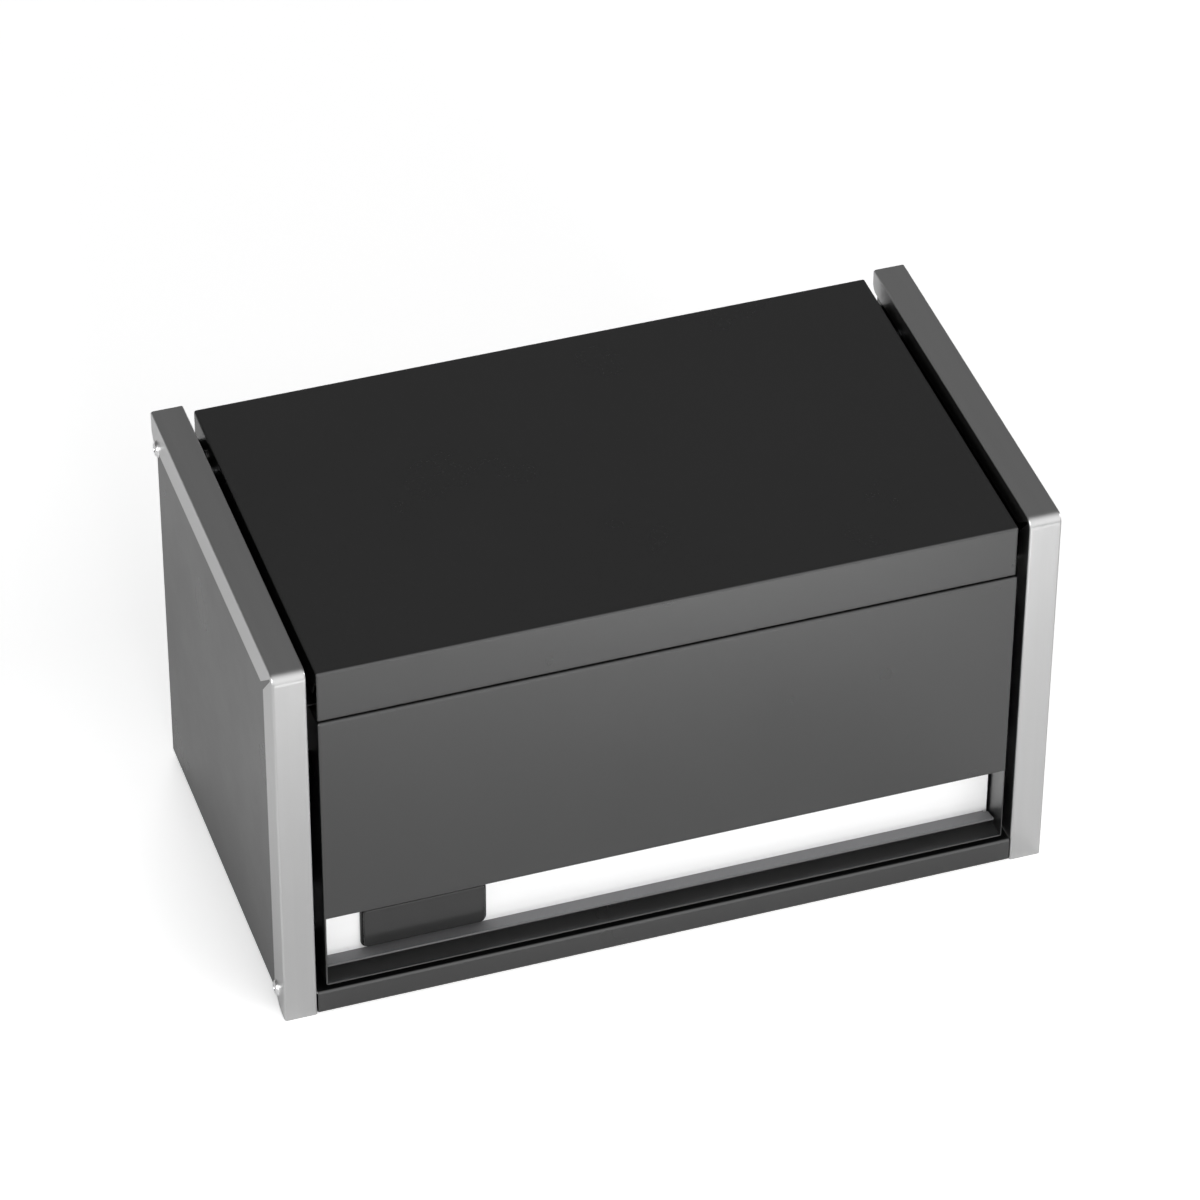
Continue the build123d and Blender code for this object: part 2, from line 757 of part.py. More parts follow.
# Pull
with BuildPart() as drawer_pull:
    with BuildSketch(Plane.YZ.offset(-pull_half)):
        with BuildLine():
            Polyline(
                (wall_y, ledge_z),
                (front + pull_ledge_front, ledge_z + pull_ledge_rise),
                (front + pull_ledge_front + pull_ledge_lead, ledge_z + pull_ledge_rise - pull_ledge),
                (wall_y, ledge_z - pull_ledge),
                (wall_y + pull_wall, ledge_z - pull_ledge),
                (wall_y + pull_wall, pull_top + pull_lip),
                (skin_back, pull_top + pull_lip),
                (skin_back, window_top + pull_lip_end),
                (skin_back + pull_lip, window_top + pull_lip_end),
                (skin_back + pull_lip, pull_top),
                (wall_y, pull_top),
                close=True,
            )
        make_face()
        for rib_z in rib_lows:
            with Locations(((wall_y + pull_wall + plate_front) / 2, rib_z + pull_rib / 2)):
                Rectangle(plate_front - wall_y - pull_wall, pull_rib)
    extrude(amount=2 * pull_half)
    for side in (-1, 1):
        slab(
            sorted((side * (pull_half - pull_relief), side * (pull_half + 1))),
            (wall_y - pull_relief, wall_y),
            (front_foot, ledge_z + pull_ledge_rise),
            mode=Mode.SUBTRACT,
        )
    drill(pull_rivet_places, rivet_shank + pin_gap, front_depth - pull_setback + sheet)

pull_rivet = rivet(small_head, small_dome, rivet_shank, front_back - wall_y, tail_head, tail_height)
pull_rivets = group(pull_rivet, pull_rivet_places)

# Badge: a thin base with a raised plain face
badge_x = -pull_half + badge_left + badge_width / 2
badge_z = front_foot + badge_rise + badge_height / 2
with BuildPart() as badge:
    with BuildSketch(Plane.XZ.offset(-wall_y)):
        with Locations((badge_x, badge_z)):
            RectangleRounded(badge_width, badge_height, badge_corner)
    extrude(amount=badge_base)
    with BuildSketch(Plane.XZ.offset(-wall_y + badge_base)):
        with Locations((badge_x, badge_z)):
            RectangleRounded(
                badge_width - 2 * badge_rim, badge_height - 2 * badge_rim, badge_corner - badge_rim
            )
    extrude(amount=badge_face)
    fillet(badge.edges().group_by(Axis.Y)[0], badge_round)

# Drawer box
with BuildPart() as drawer_body:
    slab((-box_half, box_half), (front_back, drawer_rear), (drawer_floor, drawer_floor + sheet))
    for side in (-1, 1):
        slab(
            sorted((side * (box_half - sheet), side * box_half)),
            (front_back, drawer_rear),
            (drawer_floor, drawer_top),
        )
        slab(
            sorted((side * (box_half - 2 * sheet), side * (box_half - sheet))),
            (front_back, drawer_rear - drawer_tab - 2 * sheet),
            (drawer_top - drawer_hem, drawer_top),
        )
        slab(
            sorted((side * (box_half - drawer_tab), side * (box_half - sheet))),
            (front_back, front_back + sheet),
            (drawer_floor, drawer_top),
        )
        fillet(edges_at(drawer_body, Axis.Y, x=side * box_half, z=drawer_floor), 2 * edge_round)
        drill(
            [facing(side * (box_half - sheet), front + y, slide_z, (1, 0, 0)) for y in slide_rivet_ys],
            rivet_shank + pin_gap,
            2 * sheet,
        )

back_half = box_half - sheet - nest_gap / 2
with BuildPart() as drawer_back:
    back_y = (drawer_rear - sheet, drawer_rear)
    back_z = (drawer_floor + sheet, drawer_top - nest_gap)
    slab((-back_half, back_half), back_y, back_z)
    slab(
        (-back_half + drawer_tab, back_half - drawer_tab),
        (back_y[0] - sheet, back_y[0]),
        (back_z[1] - drawer_hem, back_z[1]),
    )
    for side in (-1, 1):
        slab(
            sorted((side * (back_half - sheet), side * back_half)),
            (back_y[1] - drawer_tab, back_y[1]),
            back_z,
        )

with BuildPart() as drawer_liner:
    liner_half = box_half - drawer_tab - nest_gap
    slab(
        (-liner_half, liner_half),
        (front_back + sheet, drawer_rear - 2 * sheet),
        (drawer_floor + sheet, drawer_floor + sheet + liner),
    )

pieces = {
    "back_panel": back_panel,
    "back_rivets": back_rivets,
    "bottom_pan": bottom_pan,
    "till_tray": till_tray,
    "till_liner": till_liner,
    "lid_bumpers": lid_bumpers,
    "hinge_leaf_cabinet": hinge_leaf_cabinet,
    "hinge_leaf_lid": hinge_leaf_lid,
    "hinge_pin": hinge_pin,
    "hinge_rivets": hinge_rivets,
    "lid_pan": lid_pan,
    "drawer_front": drawer_front,
    "drawer_front_inner": drawer_front_inner,
    "drawer_pull": drawer_pull,
    "pull_rivets": pull_rivets,
    "badge": badge,
    "drawer_body": drawer_body,
    "drawer_back": drawer_back,
    "drawer_liner": drawer_liner,
}
right_pieces = {
    "edge_trim": edge_trim_right,
    "trim_rivets": trim_rivets_right,
    "side_outer": side_outer_right,
    "side_inner": side_inner_right,
    "stay_stud": stay_stud_right,
    "stay_pivot": stay_pivot_right,
    "lid_stay": lid_stay_right,
    "slide_outer": slide_outer_right,
    "slide_middle": slide_middle_right,
    "slide_inner": slide_inner_right,
    "slide_rivets": slide_rivets_right,
    "drawer_rivets": drawer_rivets_right,
    "ball_cage_outer": ball_cage_outer_right,
    "ball_cage_inner": ball_cage_inner_right,
}
for name, piece in right_pieces.items():
    pieces[name + "_right"] = piece
    pieces[name + "_left"] = mirrored(piece)

for name, piece in pieces.items():
    piece.part.label = name
    export_step(piece.part, f"parts/{name}.step")
print(len(pieces), "pieces")
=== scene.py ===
import bmesh
import bpy
import json
import math
from mathutils import Matrix, Vector


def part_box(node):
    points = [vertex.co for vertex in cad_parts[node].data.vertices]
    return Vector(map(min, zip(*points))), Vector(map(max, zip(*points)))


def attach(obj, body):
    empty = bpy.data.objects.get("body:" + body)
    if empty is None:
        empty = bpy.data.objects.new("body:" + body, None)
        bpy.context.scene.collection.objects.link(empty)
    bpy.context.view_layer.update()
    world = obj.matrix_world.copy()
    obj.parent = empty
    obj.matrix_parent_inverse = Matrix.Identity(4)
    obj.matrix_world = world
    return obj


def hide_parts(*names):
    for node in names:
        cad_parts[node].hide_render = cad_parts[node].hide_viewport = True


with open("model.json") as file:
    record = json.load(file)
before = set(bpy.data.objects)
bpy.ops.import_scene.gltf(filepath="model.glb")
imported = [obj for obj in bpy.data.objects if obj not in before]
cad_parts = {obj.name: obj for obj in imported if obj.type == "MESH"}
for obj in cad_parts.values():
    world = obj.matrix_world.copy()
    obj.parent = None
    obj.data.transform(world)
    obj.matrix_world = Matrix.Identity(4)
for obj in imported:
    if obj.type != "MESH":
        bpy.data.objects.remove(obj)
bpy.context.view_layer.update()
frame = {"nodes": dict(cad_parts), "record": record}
nodes = frame["nodes"]
mm = 0.001

# Camera
cameraValues = {
    "place": (-0.6670, -1.9741, 1.8244),
    "azimuth": 18.654,  # degrees to the right of straight on
    "elevation": 39.287,  # degrees, looking down
    "roll": 0.3153,
    "lens": 179.25,
    "sensor": 36.0,
}


def makeCamera(values):
    turn = math.radians(values["azimuth"])
    fall = math.radians(values["elevation"])
    roll = math.radians(values["roll"])
    level = Vector((math.cos(turn), -math.sin(turn), 0))
    forward = Vector((math.sin(turn) * math.cos(fall), math.cos(turn) * math.cos(fall), -math.sin(fall)))
    upright = level.cross(forward)
    across = level * math.cos(roll) + upright * math.sin(roll)
    data = bpy.data.cameras.new("camera")
    data.sensor_width = values["sensor"]
    data.lens = values["lens"]
    camera = bpy.data.objects.new("camera", data)
    camera.matrix_world = Matrix((across, across.cross(forward), -forward)).transposed().to_4x4()
    camera.location = values["place"]
    bpy.context.scene.collection.objects.link(camera)
    bpy.context.scene.camera = camera


makeCamera(cameraValues)
bpy.context.scene.view_settings.view_transform = "Standard"
print("camera placed")


# Helpers for node trees
def addNode(tree, kind, inputs=None, **settings):
    node = tree.nodes.new(kind)
    for name, value in settings.items():
        setattr(node, name, value)
    for name, value in (inputs or {}).items():
        if isinstance(value, bpy.types.NodeSocket):
            tree.links.new(value, node.inputs[name])
        else:
            node.inputs[name].default_value = value
    return node


def mathNode(tree, operation, *values):
    return addNode(tree, "ShaderNodeMath", dict(enumerate(values)), operation=operation).outputs[0]


def mapRange(tree, value, fromRange, toRange):
    sockets = dict(zip(("From Min", "From Max", "To Min", "To Max"), (*fromRange, *toRange)), Value=value)
    node = addNode(tree, "ShaderNodeMapRange", sockets, interpolation_type="SMOOTHSTEP")
    return node.outputs["Result"]


def mirroredRay(tree, rays):
    return mathNode(tree, "MAXIMUM", rays.outputs["Is Glossy Ray"], rays.outputs["Is Transmission Ray"])


# Studio: a pale floor, a sky that brightens towards the front, and soft lamps
studioValues = {
    "floorSize": 30.0,
    "floorTone": 0.93,
    "floorRoughness": 0.9,
    "floorLift": 0.50,  # what the camera sees of the floor beyond the light on it
    "floorShine": 0.05,  # the same in reflections
    "skyDim": 0.17,
    "skyFront": 0.25,  # how much more it gives towards the front
    "skyShine": 1.05,  # the same in reflections
    "skyTurn": (0.35, -0.80),  # rear and front ends of its ramp
}
skyLightValues = {  # wide soft lights, azimuths from the front towards the right
    "rightLight": {"azimuth": 50, "elevation": 34, "spread": 30, "strength": 0.65},
    "rearLight": {"azimuth": 165, "elevation": 40, "spread": 30, "strength": 0.8},
    "frontLight": {"azimuth": 0, "elevation": 9, "spread": 20, "strength": 1.3},
}
skyLightDistance = 3  # where these lights stand, which doesn't change what they give
panelValues = {  # soft boxes; those that shine act in reflections alone, the others in diffuse light alone
    "floorPanel": {
        "place": (0.06, -0.62, 0.36), "aim": (0.06, -0.62, 0.0), "size": 0.3, "power": 1.9, "shines": False,
    },
    "leftFloorPanel": {
        "place": (-0.34, 0.02, 0.20), "aim": (-0.34, 0.02, 0.0), "size": 0.2, "power": 0.10, "shines": False,
    },
    "leftPanel": {
        "place": (-1.98, -0.83, 1.10), "aim": (0, 0, 0.1), "size": 0.6, "power": 4.6, "shines": True,
    },
    "leftLowPanel": {
        "place": (-2.13, -0.38, 0.38), "aim": (0, 0, 0.1), "size": 0.9, "power": 9.4, "shines": True,
    },
    "rightPanel": {
        "place": (2.37, -0.03, 0.50), "aim": (0, 0, 0.1), "size": 0.5, "power": 10.0, "shines": True,
    },
}
spotValues = {  # on the floor in front
    "place": (0.14, -0.50, 0.80), "width": 0.44, "blend": 0.4, "power": 14.0,
}


def makeFloor(values):
    mesh = bpy.data.meshes.new("floor")
    half = values["floorSize"] / 2
    corners = [(-half, -half, 0), (half, -half, 0), (half, half, 0), (-half, half, 0)]
    mesh.from_pydata(corners, [], [(0, 1, 2, 3)])
    floor = bpy.data.objects.new("floor", mesh)
    bpy.context.scene.collection.objects.link(floor)
    material = bpy.data.materials.new("paleFloor")
    material.use_nodes = True
    tree = material.node_tree
    shader = tree.nodes["Principled BSDF"]
    shader.inputs["Base Color"].default_value = (*[values["floorTone"]] * 3, 1)
    shader.inputs["Roughness"].default_value = values["floorRoughness"]
    shader.inputs["Specular IOR Level"].default_value = 0.0
    rays = addNode(tree, "ShaderNodeLightPath")
    lift = mathNode(tree, "MULTIPLY", mirroredRay(tree, rays), values["floorShine"])
    lift = mathNode(tree, "MULTIPLY_ADD", rays.outputs["Is Camera Ray"], values["floorLift"], lift)
    shader.inputs["Emission Color"].default_value = (1, 1, 1, 1)
    tree.links.new(lift, shader.inputs["Emission Strength"])
    mesh.materials.append(material)


def makeSky(values):
    world = bpy.data.worlds.new("studioSky")
    bpy.context.scene.world = world
    world.use_nodes = True
    tree = world.node_tree
    direction = addNode(tree, "ShaderNodeTexCoord").outputs["Generated"]
    parts = addNode(tree, "ShaderNodeSeparateXYZ", {0: direction})
    ramp = mapRange(tree, parts.outputs["Y"], values["skyTurn"], (0, 1))
    mirrored = mirroredRay(tree, addNode(tree, "ShaderNodeLightPath"))
    extra = mathNode(
        tree, "MULTIPLY_ADD", mirrored, values["skyShine"] - values["skyFront"], values["skyFront"]
    )
    level = mathNode(tree, "MULTIPLY_ADD", ramp, extra, values["skyDim"])
    tree.links.new(level, tree.nodes["Background"].inputs["Strength"])
    tree.nodes["Background"].inputs["Color"].default_value = (1, 1, 1, 1)


def towardLamp(values):
    turn, rise = math.radians(values["azimuth"]), math.radians(values["elevation"])
    return Vector((math.sin(turn) * math.cos(rise), -math.cos(turn) * math.cos(rise), math.sin(rise)))


def placeLamp(name, data, place, aim):
    lamp = bpy.data.objects.new(name, data)
    lamp.location = place
    lamp.rotation_euler = (Vector(place) - Vector(aim)).to_track_quat("Z", "Y").to_euler()
    bpy.context.scene.collection.objects.link(lamp)
    return lamp


def makeSkyLight(name, values):
    data = bpy.data.lights.new(name, "SUN")
    data.energy = values["strength"]
    data.angle = math.radians(values["spread"])
    placeLamp(name, data, towardLamp(values) * skyLightDistance, (0, 0, 0)).visible_glossy = False


def makePanel(name, values):
    data = bpy.data.lights.new(name, "AREA")
    data.size = values["size"]
    data.energy = values["power"]
    lamp = placeLamp(name, data, values["place"], values["aim"])
    lamp.visible_glossy = values["shines"]
    lamp.visible_diffuse = not values["shines"]


def makeSpot(name, values):
    data = bpy.data.lights.new(name, "SPOT")
    x, y, z = values["place"]
    data.spot_size = 2 * math.atan(values["width"] / 2 / z)
    data.spot_blend = values["blend"]
    data.energy = values["power"]
    placeLamp(name, data, values["place"], (x, y, 0)).visible_glossy = False


makeFloor(studioValues)
makeSky(studioValues)
makeSpot("floorSpot", spotValues)
for lightName, lightValues in skyLightValues.items():
    makeSkyLight(lightName, lightValues)
for panelName, panelSizes in panelValues.items():
    makePanel(panelName, panelSizes)
print("studio lit")

# Shader groups that several finishes share
groupValues = {
    "edgeSamples": 6,
    "edgeTurn": (0.99, 0.8),  # cosines of the bend at which an edge starts and is full
    "peelNoise": (3.0, 0.55),  # detail and roughness, as in the other two
    "cloudNoise": (4.0, 0.6),
    "brushNoise": (3.0, 0.6),
    "brushPitch": 2600.0,
    "brushTonePitch": 320.0,
}
noiseSpread = (0.3, 0.7)  # where a noise gives the first and the second of a finish's two roughnesses


def newGroup(name, inputs, outputs):
    group = bpy.data.node_groups.new(name, "ShaderNodeTree")
    for way, sockets in (("INPUT", inputs), ("OUTPUT", outputs)):
        for socketName, kind in sockets.items():
            group.interface.new_socket(socketName, in_out=way, socket_type=kind)
    return group, group.nodes.new("NodeGroupInput"), group.nodes.new("NodeGroupOutput")


def noiseNode(tree, place, scale, texture):
    detail, roughness = texture
    sockets = {"Vector": place, "Scale": scale, "Detail": detail, "Roughness": roughness}
    return addNode(tree, "ShaderNodeTexNoise", sockets).outputs["Fac"]


def objectPlace(tree):
    return addNode(tree, "ShaderNodeTexCoord").outputs["Object"]


def makeSoftEdge(values):
    group, source, result = newGroup(
        "softEdge",
        {"Radius": "NodeSocketFloat"},
        {"Edge": "NodeSocketFloat", "Normal": "NodeSocketVector"},
    )
    radius = source.outputs["Radius"]
    bevel = addNode(group, "ShaderNodeBevel", {"Radius": radius}, samples=values["edgeSamples"])
    bent = bevel.outputs["Normal"]
    flat = addNode(group, "ShaderNodeNewGeometry").outputs["Normal"]
    turn = addNode(group, "ShaderNodeVectorMath", {0: bent, 1: flat}, operation="DOT_PRODUCT")
    edge = mapRange(group, turn.outputs["Value"], values["edgeTurn"], (0, 1))
    group.links.new(edge, result.inputs["Edge"])
    group.links.new(bent, result.inputs["Normal"])
    return group


def makePaintSkin(values):
    group, source, result = newGroup(
        "paintSkin",
        {"Grain": "NodeSocketFloat", "Cloud": "NodeSocketFloat"},
        {"Height": "NodeSocketFloat", "Tone": "NodeSocketFloat"},
    )
    place = objectPlace(group)
    peel = noiseNode(group, place, source.outputs["Grain"], values["peelNoise"])
    cloud = noiseNode(group, place, source.outputs["Cloud"], values["cloudNoise"])
    group.links.new(peel, result.inputs["Height"])
    group.links.new(cloud, result.inputs["Tone"])
    return group


def makeBrushedGrain(values):
    group, source, result = newGroup(
        "brushedGrain",
        {"Across": "NodeSocketVector"},
        {"Height": "NodeSocketFloat", "Tone": "NodeSocketFloat"},
    )
    factors = {0: objectPlace(group), 1: source.outputs["Across"]}
    place = addNode(group, "ShaderNodeVectorMath", factors, operation="MULTIPLY").outputs["Vector"]
    for socketName, pitch in (("Height", values["brushPitch"]), ("Tone", values["brushTonePitch"])):
        group.links.new(noiseNode(group, place, pitch, values["brushNoise"]), result.inputs[socketName])
    return group


softEdge = makeSoftEdge(groupValues)
paintSkin = makePaintSkin(groupValues)
brushedGrain = makeBrushedGrain(groupValues)


def placeGroup(tree, group, **values):
    return addNode(tree, "ShaderNodeGroup", values, node_tree=group).outputs


def newFinish(name, sockets):
    material = bpy.data.materials.new(name)
    material.use_nodes = True
    shader = material.node_tree.nodes["Principled BSDF"]
    for socketName, value in sockets.items():
        shader.inputs[socketName].default_value = value
    return material, material.node_tree, shader


def linkFinish(tree, shader, tone, rough, normal):
    tree.links.new(tone, shader.inputs["Base Color"])
    tree.links.new(rough, shader.inputs["Roughness"])
    tree.links.new(normal, shader.inputs["Normal"])


def mixTone(tree, factor, first, second):
    node = addNode(tree, "ShaderNodeMix", {0: factor}, data_type="RGBA")
    colours = [socket for socket in node.inputs if socket.type == "RGBA"]
    for socket, colour in zip(colours, (first, second)):
        if isinstance(colour, tuple):
            socket.default_value = (*colour, 1)
        else:
            tree.links.new(colour, socket)
    return [socket for socket in node.outputs if socket.type == "RGBA"][0]


def mixValue(tree, factor, first, second):
    rest = mathNode(tree, "SUBTRACT", 1.0, factor)
    return mathNode(tree, "MULTIPLY_ADD", factor, second, mathNode(tree, "MULTIPLY", rest, first))


def bumpNormal(tree, height, depth, normal):
    sockets = {"Distance": depth, "Height": height, "Normal": normal}
    return addNode(tree, "ShaderNodeBump", sockets).outputs["Normal"]


# Satin black paint, and a rougher copy of it inside the drawer whose lighter tone is painted light for the
# shaded inside
paintValues = {
    "tone": (0.0030, 0.0030, 0.0031),
    "toneWorn": (0.0042, 0.0042, 0.0043),
    "roughness": (0.27, 0.32),
    "gloss": 1.0,
    "index": 1.6,
    "grain": 900.0,
    "cloud": 14.0,
    "peel": 0.000012,
    "edgeRadius": 0.00035,
    "wearAndSheen": 0.35,  # at most this share of the lighter edge tone shows on an edge, partly as edge wear and partly as a painted highlight
    "wearAndSheenTone": (0.055, 0.055, 0.056),
}
# The same black paint, rougher, and lighter in tone as painted light where the drawer's inside lies in shade
innerLitPaintValues = dict(
    paintValues, tone=(0.016, 0.016, 0.0165), toneWorn=(0.022, 0.022, 0.0225), roughness=(0.38, 0.46)
)

# Rubber of the liners and bumpers, and plastic of the badge, made the way paint is but with no lighter edge
# of wear and painted highlight
rubberValues = {
    "tone": (0.050, 0.050, 0.051),
    "toneWorn": (0.075, 0.075, 0.077),
    "roughness": (0.62, 0.8),
    "gloss": 0.4,
    "index": 1.5,
    "grain": 1400.0,
    "cloud": 30.0,
    "peel": 0.00004,
    "edgeRadius": 0.0003,
}
badgeValues = dict(
    rubberValues, tone=(0.022, 0.022, 0.022), toneWorn=(0.030, 0.030, 0.030),
    roughness=(0.20, 0.27), gloss=0.55, peel=0.000004,
)


def makePaint(name, values):
    sockets = {"Specular IOR Level": values["gloss"], "IOR": values["index"]}
    material, tree, shader = newFinish(name, sockets)
    skin = placeGroup(tree, paintSkin, Grain=values["grain"], Cloud=values["cloud"])
    edge = placeGroup(tree, softEdge, Radius=values["edgeRadius"])
    tone = mixTone(tree, skin["Tone"], values["tone"], values["toneWorn"])
    # Lighter bend edges: partly edge wear, partly a painted highlight along the edges
    if "wearAndSheen" in values:
        wornAndLit = mathNode(tree, "MULTIPLY", edge["Edge"], skin["Tone"])
        wornAndLit = mathNode(tree, "MULTIPLY", wornAndLit, values["wearAndSheen"])
        tone = mixTone(tree, wornAndLit, tone, values["wearAndSheenTone"])
    rough = mapRange(tree, skin["Tone"], noiseSpread, values["roughness"])
    normal = bumpNormal(tree, skin["Height"], values["peel"], edge["Normal"])
    linkFinish(tree, shader, tone, rough, normal)
    return material


# Brushed metal of the trims, the pull's bright sheet, zinc plate and nickel rivets
trimValues = {
    "tone": (0.65, 0.65, 0.65),
    "toneDull": (0.61, 0.61, 0.61),
    "metallic": 1.0,
    "roughness": (0.28, 0.33),
    "grain": 0.000002,
    "edgeRadius": 0.0003,
    "across": (1.0, 0.02, 0.02),
}
pullValues = {
    "tone": (0.95, 0.95, 0.95),
    "toneDull": (0.92, 0.92, 0.92),
    "metallic": 0.1,
    "roughness": (0.42, 0.50),
    "grain": 0.000003,
    "edgeRadius": 0.00025,
    "across": (0.02, 1.0, 1.0),
    "ledgeShade": {  # painted shade: a grey tone on the ledge's upper faces ahead of the bright wall, where the recess shades them, but not on faces that look down
        "tone": (0.25, 0.25, 0.256), "metallic": 0.6, "roughness": 0.8,
        "ahead": (-0.0827, -0.0831), "upward": (-0.8, -0.6),
    },
}
zincValues = {
    "tone": (0.55, 0.56, 0.58),
    "toneDull": (0.42, 0.43, 0.45),
    "metallic": 1.0,
    "roughness": (0.28, 0.45),
    "grain": 0.000004,
    "edgeRadius": 0.0002,
    "across": (1.0, 0.05, 1.0),
}
rivetValues = {
    "tone": (0.93, 0.93, 0.93),
    "toneDull": (0.84, 0.84, 0.845),
    "metallic": 1.0,
    "roughness": (0.12, 0.22),
    "grain": 0.000003,
    "edgeRadius": 0.0002,
    "across": (1.0, 1.0, 1.0),
}


# Mask of the painted shade on the pull's ledge: faces ahead of the wall that don't look down
def ledgeShadeMask(tree, ledgeShade):
    place = addNode(tree, "ShaderNodeSeparateXYZ", {0: objectPlace(tree)})
    normal = addNode(tree, "ShaderNodeNewGeometry").outputs["Normal"]
    facing = addNode(tree, "ShaderNodeSeparateXYZ", {0: normal})
    ahead = mapRange(tree, place.outputs["Y"], ledgeShade["ahead"], (0, 1))
    upward = mapRange(tree, facing.outputs["Z"], ledgeShade["upward"], (0, 1))
    return mathNode(tree, "MULTIPLY", ahead, upward)


def makeMetal(name, values):
    material, tree, shader = newFinish(name, {"Metallic": values["metallic"]})
    grain = placeGroup(tree, brushedGrain, Across=values["across"])
    edge = placeGroup(tree, softEdge, Radius=values["edgeRadius"])
    tone = mixTone(tree, grain["Tone"], values["toneDull"], values["tone"])
    rough = mapRange(tree, grain["Tone"], noiseSpread, values["roughness"])
    # Where the mask is full, a grey tone paints the shade on the ledge's upper faces
    if "ledgeShade" in values:
        ledgeShade = values["ledgeShade"]
        covered = ledgeShadeMask(tree, ledgeShade)
        tone = mixTone(tree, covered, tone, ledgeShade["tone"])
        rough = mixValue(tree, covered, rough, ledgeShade["roughness"])
        metallic = mixValue(tree, covered, values["metallic"], ledgeShade["metallic"])
        tree.links.new(metallic, shader.inputs["Metallic"])
    normal = bumpNormal(tree, grain["Height"], values["grain"], edge["Normal"])
    linkFinish(tree, shader, tone, rough, normal)
    return material


finishes = {
    "trim_metal": makeMetal("brushedTrim", trimValues),
    "black_paint": makePaint("satinBlack", paintValues),
    "pull_metal": makeMetal("brightPull", pullValues),
    "badge_black": makePaint("badgeBlack", badgeValues),
    "zinc_steel": makeMetal("zincSteel", zincValues),
    "rivet_metal": makeMetal("rivetNickel", rivetValues),
    "liner_rubber": makePaint("blackRubber", rubberValues),
}
# The lighter inner copy is painted light on the drawer's shaded inside
innerLitPaint = makePaint("innerLitBlack", innerLitPaintValues)
innerNodes = ("drawer_body", "drawer_back", "drawer_front_inner")


def dressNodes():
    for row in frame["record"]["subparts"]:
        mesh = nodes[row["node"]].data
        mesh.materials.clear()
        inner = row["node"] in innerNodes
        mesh.materials.append(innerLitPaint if inner else finishes[row["material_slot"]])


dressNodes()
print("finishes on")


# Geometry Nodes trees for what repeats
def newTree(name, sizes):
    tree = bpy.data.node_groups.new(name, "GeometryNodeTree")
    sockets = {"Geometry": "NodeSocketGeometry", **sizes, "Finish": "NodeSocketMaterial"}
    for socketName, kind in sockets.items():
        tree.interface.new_socket(socketName, in_out="INPUT", socket_type=kind)
    tree.interface.new_socket("Geometry", in_out="OUTPUT", socket_type="NodeSocketGeometry")
    return tree, tree.nodes.new("NodeGroupInput"), tree.nodes.new("NodeGroupOutput")


def finishTree(tree, result, geometry, material):
    plain = addNode(tree, "GeometryNodeRealizeInstances", {"Geometry": geometry})
    covered = addNode(tree, "GeometryNodeSetMaterial", {"Geometry": plain.outputs[0], "Material": material})
    tree.links.new(covered.outputs[0], result.inputs[0])


def growMesh(name, points, tree, values, body, slotName, replaced):
    source = bpy.data.objects.new(name, points)
    bpy.context.scene.collection.objects.link(source)
    modifier = source.modifiers.new(name, "NODES")
    modifier.node_group = tree
    values = dict(values, Finish=finishes[slotName])
    for item in tree.interface.items_tree:
        if item.in_out == "INPUT" and item.name in values:
            modifier[item.identifier] = values[item.name]
    bpy.context.view_layer.update()
    evaluated = source.evaluated_get(bpy.context.evaluated_depsgraph_get())
    grown = bpy.data.meshes.new_from_object(evaluated)
    grown.name = name
    source.modifiers.remove(modifier)
    source.data = grown
    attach(source, body)
    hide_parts(*replaced)


# Blind rivets: a domed head with the hollow that its mandrel leaves, a shank and a tail
rivetShape = {
    "profile": {  # share of the head's radius: share of the dome's height
        0.0: 0.30, 0.10: 0.30, 0.22: 0.22, 0.30: 0.84, 0.38: 1.0,
        0.60: 0.93, 0.78: 0.74, 0.92: 0.42, 1.0: 0.10,
    },
    "rings": 16,
    "sides": 28,
    "disc": 2 * mm,  # thickness of the disc that the head is formed from
}
trimRivetValues = {
    "Head": 3.9 * mm, "Dome": 1.6 * mm, "Shank": 1.6 * mm, "Tail": 2.4 * mm, "Tail Depth": 0.7 * mm,
}
backRivetValues = dict(trimRivetValues, Head=2.8 * mm, Dome=1.2 * mm)
smallRivetValues = dict(trimRivetValues, Head=2.8 * mm, Dome=0.8 * mm)


